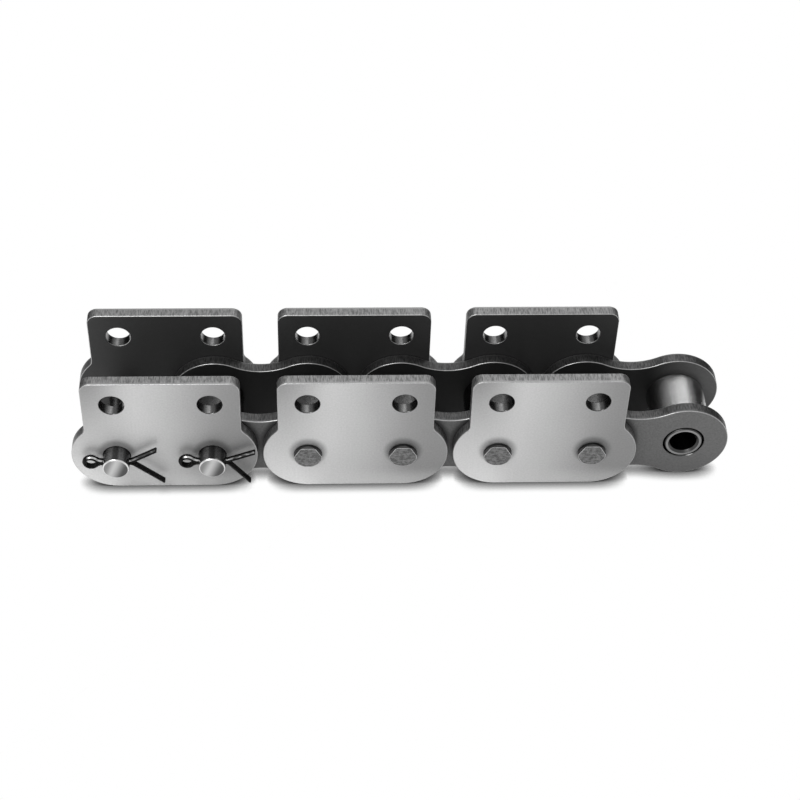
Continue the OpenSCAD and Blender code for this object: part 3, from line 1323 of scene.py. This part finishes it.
class Wire:
    """A length of half-round wire that grows from its last end face."""

    ARC_STEP: ClassVar[float] = 9.0
    BEND_STEP: ClassVar[float] = 6.0
    LEAST_STEPS: ClassVar[int] = 6
    SHOULDER_DEGREES: ClassVar[float] = 55.0
    SHOULDER: ClassVar[Vector] = Matrix.Rotation(-math.radians(SHOULDER_DEGREES), 3, "X") @ -AXIS_Y

    def __init__(self, work: Workpiece, radius: float, flat_z: float, corner: float) -> None:
        """Makes the section across X, with its flat below and its round side up.

        Args:
            work: The workpiece that it is made in.
            radius: Radius of the round side.
            flat_z: Height of the flat.
            corner: Radius of the corners between the two.
        """
        self.bm = work.bm
        lean = math.asin(corner / (radius - corner))
        inset = (radius - corner) * math.cos(lean)
        turn = math.degrees(lean)
        pen = Pen(work, AXIS_Y, AXIS_Z, (inset, flat_z), self.ARC_STEP)
        pen.arc(inset, flat_z + corner, 90 + turn).arc(0.0, flat_z, 180 - 2 * turn)
        pen.arc(-inset, flat_z + corner, 90 + turn).close()
        self.end = bmesh.ops.contextual_create(self.bm, geom=self.bm.edges[:])["faces"][0]
        self.start = self.end
        # Each point of the section keeps how far it lies towards the line of the painted highlight.
        rubbed = self.bm.verts.layers.float.new(PAINTED_HIGHLIGHT)
        for vert in self.end.verts:
            vert[rubbed] = (vert.co - flat_z * AXIS_Z).dot(self.SHOULDER) / radius

    def run(self, step: Vector) -> Wire:
        """Grows the wire straight on.

        Args:
            step: How far it grows, and which way.

        Returns:
            The wire.
        """
        grown = bmesh.ops.extrude_face_region(self.bm, geom=[self.end, *self.end.edges])["geom"]
        self.end = next(g for g in grown if isinstance(g, bmesh.types.BMFace))
        bmesh.ops.translate(self.bm, vec=step, verts=self.end.verts[:])
        return self

    def bend(self, x: float, z: float, degrees: float) -> Wire:
        """Grows the wire round an arc.

        Args:
            x: Place of the arc's centre.
            z: Height of the arc's centre.
            degrees: Angle that it turns through, anticlockwise seen from the front if positive.

        Returns:
            The wire.
        """
        swept = bmesh.ops.spin(
            self.bm,
            geom=[self.end, *self.end.edges],
            cent=(x, 0.0, z),
            axis=-AXIS_Y,
            angle=math.radians(degrees),
            steps=max(self.LEAST_STEPS, round(abs(degrees) / self.BEND_STEP)),
        )
        self.end = next(g for g in swept["geom_last"] if isinstance(g, bmesh.types.BMFace))
        return self


@dataclass
class Cotter(ChainPiece):
    """Split cotter through a connecting pin, with its eye to the left and its legs opened to the right."""

    pin: str = ""
    leg_up: float = 17.0
    leg_down: float = 23.5
    open_up: float = 31.0
    open_down: float = 42.0
    open_up_radius: float = 3.0
    open_down_radius: float = 4.0
    eye_radius: float = 2.8
    neck_radius: float = 5.5
    half_slit: float = 0.05
    wire_corner: float = 0.37
    tip_round: float = 0.2
    tip_steps: int = 2
    leg_lead: float = 0.1
    eye_lead: float = 0.1
    pin_radius: float = 7.135

    slot = "cotter_steel"
    finish = OILED_WIRE

    @property
    def place(self) -> Vector:
        """The pin's axis, at the cotter's own distance from the plate."""
        low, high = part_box(self.pin)
        return (low.x + high.x) / 2 / MM * AXIS_X + (self.low.y + self.high.y) / 2 * AXIS_Y

    def shape(self, work: Workpiece) -> None:
        """Grows the wire from the pin's axis to the upper leg, and then round the eye to the lower leg.

        Args:
            work: The empty workpiece.
        """
        wire = Wire(work, (self.high.y - self.low.y) / 2, self.half_slit, self.wire_corner)
        leg_x = self.pin_radius + self.leg_lead
        neck_x = -self.pin_radius - self.eye_lead
        neck_z = self.half_slit + self.neck_radius
        neck_to_eye = self.eye_radius + self.neck_radius
        neck = math.degrees(math.acos(neck_z / neck_to_eye))
        eye_x = neck_x - neck_to_eye * math.sin(math.radians(neck))
        up_z = self.half_slit + self.open_up_radius
        down_z = -self.half_slit - self.open_down_radius
        up_way = Matrix.Rotation(-math.radians(self.open_up), 3, "Y") @ AXIS_X
        down_way = Matrix.Rotation(math.radians(self.open_down), 3, "Y") @ AXIS_X
        up_run = self.leg_up - self.leg_lead - self.open_up_radius * math.radians(self.open_up)
        down_run = self.leg_down - self.leg_lead - self.open_down_radius * math.radians(self.open_down)
        wire.run(leg_x * AXIS_X).bend(leg_x, up_z, self.open_up).run(up_run * up_way)
        wire.end = wire.start
        wire.run(neck_x * AXIS_X).bend(neck_x, neck_z, -neck)
        wire.bend(eye_x, 0.0, 180 + 2 * neck).bend(neck_x, -neck_z, -neck)
        wire.run((leg_x - neck_x) * AXIS_X).bend(leg_x, down_z, -self.open_down).run(down_run * down_way)
        work.tidy()
        tips = [f for f in work.bm.faces if len(f.verts) > work.QUAD]
        work.ease([e for f in tips for e in f.edges], self.tip_round, self.tip_steps)


@dataclass
class Chain:
    """The whole length of chain."""

    links: int = 3

    def pieces(self) -> list[ChainPiece]:
        """Every piece, from the plates to the cotters.

        Returns:
            The pieces in the order that they are made.
        """
        pairs = range(1, self.links + 1)
        stations = range(1, 2 * self.links + 1)
        made: list[ChainPiece] = []
        for side in Side:
            made += [LugPlate(f"lug_plate_{side.word}_{k}", side) for k in pairs]
            made += [InnerPlate(f"inner_plate_{side.word}_{k}", side) for k in pairs]
        made += [RivetedPin(f"riveted_pin_{k}") for k in stations[:-2]]
        made += [ConnectingPin(f"connecting_pin_{k}") for k in (1, 2)]
        made += [Bush(f"bush_{k}") for k in stations]
        made += [Roller(f"roller_{k}") for k in stations]
        made.append(Cotter("cotter_1", "connecting_pin_1"))
        bent = {"leg_down": 20.5, "open_up": 22.0, "open_down": 53.0, "open_down_radius": 3.0}
        made.append(Cotter("cotter_2", "connecting_pin_2", **bent))
        return made


@dataclass(frozen=True)
class Softbox:
    """A soft lamp."""

    name: str
    place: tuple[float, float, float]
    width: float
    height: float
    watts: float

    def hang(self, target: tuple[float, float, float]) -> None:
        """Hangs the lamp and turns it to its target.

        Args:
            target: What the lamp looks at, in metres.
        """
        lamp = bpy.data.lights.new(self.name, "AREA")
        lamp.shape = "RECTANGLE"
        lamp.size = self.width
        lamp.size_y = self.height
        lamp.energy = self.watts
        hung = bpy.data.objects.new(self.name, lamp)
        bpy.context.scene.collection.objects.link(hung)
        way = Vector(target) - Vector(self.place)
        turn = way.to_track_quat("-Z", "Y").to_matrix().to_4x4()
        hung.matrix_world = Matrix.Translation(self.place) @ turn


SOFTBOXES = (
    Softbox("key_softbox", place=(-0.75, -0.85, 1.15), width=0.8, height=0.8, watts=11.0),
    Softbox("back_softbox", place=(0.2, 0.75, 1.2), width=1.3, height=0.5, watts=9.0),
    Softbox("small_softbox", place=(-0.55, -0.2, 0.8), width=0.2, height=0.2, watts=2.5),
)


@dataclass(frozen=True)
class Camera:
    """The camera at the photograph's viewing angle, in metres and degrees."""

    target: tuple[float, float, float] = (-0.153248, 0.0, 0.011462)
    distance: float = 1.03362
    elevation: float = 45.326
    yaw: float = 3.596
    roll: float = 2.18
    lens_mm: float = 85.78
    sensor_mm: float = 36.0

    def set_up(self) -> None:
        """Places the camera and makes it the scene's own."""
        data = bpy.data.cameras.new("photo_camera")
        data.lens = self.lens_mm
        data.sensor_width = self.sensor_mm
        turn = Matrix.Rotation(math.radians(-self.yaw), 4, "Z")
        tilt = Matrix.Rotation(math.radians(90 - self.elevation), 4, "X")
        lean = Matrix.Rotation(math.radians(self.roll), 4, "Z")
        back = Matrix.Translation((0.0, 0.0, self.distance))
        camera = bpy.data.objects.new("photo_camera", data)
        camera.matrix_world = Matrix.Translation(self.target) @ turn @ tilt @ lean @ back
        bpy.context.scene.collection.objects.link(camera)
        bpy.context.scene.camera = camera


@dataclass(frozen=True)
class Studio:
    """White floor, soft lamps and a dark card that only shows in the metal."""

    middle: tuple[float, float, float] = (-0.15, 0.0, 0.0)
    floor_reach: float = 6.0
    floor_tone: float = 0.88
    floor_glow: float = 0.22
    shadow_reach: float = 0.009
    shadow_lift: float = 1.3
    shadow_samples: int = 16
    ambient: float = 0.6
    card_start: float = 0.24
    card_radius: float = 1.6
    card_high: float = 0.8
    card_turn: float = 170.0
    card_gap: float = 0.0005
    card_tone: float = 0.02
    card_steps: int = 40

    def set_up(self, floor_z: float) -> None:
        """Sets up the stage.

        Args:
            floor_z: Height of the floor, in metres.
        """
        bpy.context.scene.view_settings.view_transform = "Standard"
        self.light_world()
        self.lay_floor(floor_z)
        self.stand_card(floor_z + self.card_gap)
        for lamp in SOFTBOXES:
            lamp.hang(self.middle)

    def light_world(self) -> None:
        """Makes the world white to look at and softer as a light."""
        world = bpy.data.worlds.new("white_world")
        bpy.context.scene.world = world
        sheet = NodeSheet(world)
        strength = self.ambient + (1 - self.ambient) * sheet.seen_as_background()
        sky = sheet.make("ShaderNodeBackground", {}, {"Color": WHITE, "Strength": strength})
        sheet.make("ShaderNodeOutputWorld", {}, {"Surface": sky})

    def lay_floor(self, floor_z: float) -> None:
        """Lays a white floor, which the camera sees as the chain's soft shadow on the white world.

        Links that swing below the floor at a joint's limit stay in sight.

        Args:
            floor_z: Height of the floor, in metres.
        """
        sheet = NodeSheet.of_material("white_floor")
        samples = {"samples": self.shadow_samples}
        near = sheet.make("ShaderNodeAmbientOcclusion", samples, {"Distance": self.shadow_reach}, "AO")
        shadow = near.math("MINIMUM", self.shadow_lift * near * near * near, 1.0)
        seen = sheet.make("ShaderNodeBsdfTransparent", {}, {"Color": shadow})
        matt = sheet.make("ShaderNodeBsdfDiffuse", {}, {"Color": grey(self.floor_tone)})
        glow = {"Color": WHITE, "Strength": self.floor_glow * sheet.seen_as_background()}
        lit = sheet.make("ShaderNodeAddShader", {}, {0: matt, 1: sheet.make("ShaderNodeEmission", {}, glow)})
        camera = sheet.make("ShaderNodeLightPath", {}, {}, "Is Camera Ray")
        both = sheet.make("ShaderNodeMixShader", {}, {0: camera, 1: lit, 2: seen})
        sheet.make("ShaderNodeOutputMaterial", {}, {"Surface": both})
        bm = bmesh.new()
        place = Matrix.Translation((self.middle[0], self.middle[1], floor_z))
        bmesh.ops.create_grid(bm, x_segments=1, y_segments=1, size=self.floor_reach, matrix=place)
        floor = object_from(bm, "floor")
        floor.data.materials.append(sheet.owner)
        floor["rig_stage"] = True

    def stand_card(self, foot_z: float) -> None:
        """Lays and stands a dark card in an arc behind the chain, which nothing but metal sees.

        Args:
            foot_z: Height of the part that lies down, in metres.
        """
        sheet = NodeSheet.of_material("dark_card")
        matt = sheet.make("ShaderNodeBsdfDiffuse", {}, {"Color": grey(self.card_tone)})
        sheet.make("ShaderNodeOutputMaterial", {}, {"Surface": matt})
        bm = bmesh.new()
        start = Matrix.Rotation(math.radians((180 - self.card_turn) / 2), 3, "Z") @ AXIS_X
        middle = Vector(self.middle) + foot_z * AXIS_Z
        near = bm.verts.new(middle + self.card_start * start)
        far = bmesh.ops.extrude_vert_indiv(bm, verts=[near])["verts"][0]
        far.co = middle + self.card_radius * start
        top = bmesh.ops.extrude_vert_indiv(bm, verts=[far])["verts"][0]
        top.co = far.co + self.card_high * AXIS_Z
        bmesh.ops.spin(
            bm,
            geom=[*bm.verts, *bm.edges],
            cent=self.middle,
            axis=AXIS_Z,
            angle=math.radians(self.card_turn),
            steps=self.card_steps,
        )
        card = object_from(bm, "dark_card")
        card.data.materials.append(sheet.owner)
        card.visible_camera = False
        card.visible_diffuse = False
        card.visible_transmission = False
        card.visible_shadow = False
        card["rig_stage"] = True


def main() -> None:
    """Loads the frame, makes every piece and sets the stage."""
    logging.basicConfig(level=logging.INFO, format="%(name)s %(message)s")
    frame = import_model()
    cad_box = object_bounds()
    for piece in Chain().pieces():
        piece.make(frame["nodes"])
    Studio().set_up(cad_box[0].z)
    Camera().set_up()


if __name__ == "__main__":
    main()
